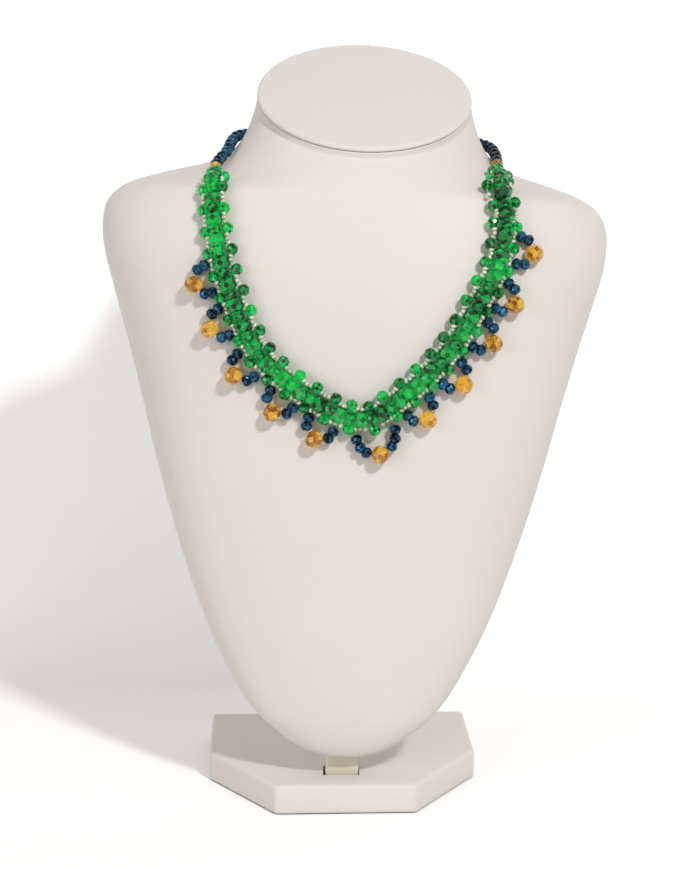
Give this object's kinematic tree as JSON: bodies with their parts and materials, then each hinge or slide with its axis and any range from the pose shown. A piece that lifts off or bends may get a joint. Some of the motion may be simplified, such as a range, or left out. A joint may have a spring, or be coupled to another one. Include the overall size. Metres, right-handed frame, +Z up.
{
  "type": "bib necklace on a neck bust stand",
  "caption": "V-shaped bib necklace woven from faceted glass beads with a looped bead fringe, worn on a padded neck bust that stands on a chamfered board.",
  "frame": {"origin": "on the base board's underside, on its middle line and 50 mm behind its front edge, where the stand rests", "axes": "+Z up, -Y towards the front of the bust, +X to the right as seen from the front"},
  "size_m": [0.1908, 0.1047, 0.2847],
  "materials": {
    "leatherette": "fine grained matt leatherette",
    "green_glass": "faceted transparent emerald glass",
    "blue_glass": "faceted dark blue glass with a metallic lustre",
    "amber_glass": "faceted transparent amber glass",
    "silver": "bright silver"
  },
  "bodies": {
    "root": {"base_plate": "leatherette", "stand_post": "leatherette", "bust_body": "leatherette", "neck_cap": "leatherette", "woven_band": "green_glass", "fringe_loop_01": "blue_glass", "amber_bead_01": "amber_glass", "fringe_loop_02": "blue_glass", "amber_bead_02": "amber_glass", "fringe_loop_03": "blue_glass", "amber_bead_03": "amber_glass", "fringe_loop_04": "blue_glass", "amber_bead_04": "amber_glass", "fringe_loop_05": "blue_glass", "amber_bead_05": "amber_glass", "fringe_loop_06": "blue_glass", "amber_bead_06": "amber_glass", "fringe_loop_07": "blue_glass", "amber_bead_07": "amber_glass", "fringe_loop_08": "blue_glass", "amber_bead_08": "amber_glass", "fringe_loop_09": "blue_glass", "amber_bead_09": "amber_glass", "fringe_loop_10": "blue_glass", "amber_bead_10": "amber_glass", "fringe_loop_11": "blue_glass", "amber_bead_11": "amber_glass", "back_strand_right": "blue_glass", "back_strand_left": "blue_glass", "clasp": "silver"}
  },
  "joints": []
}
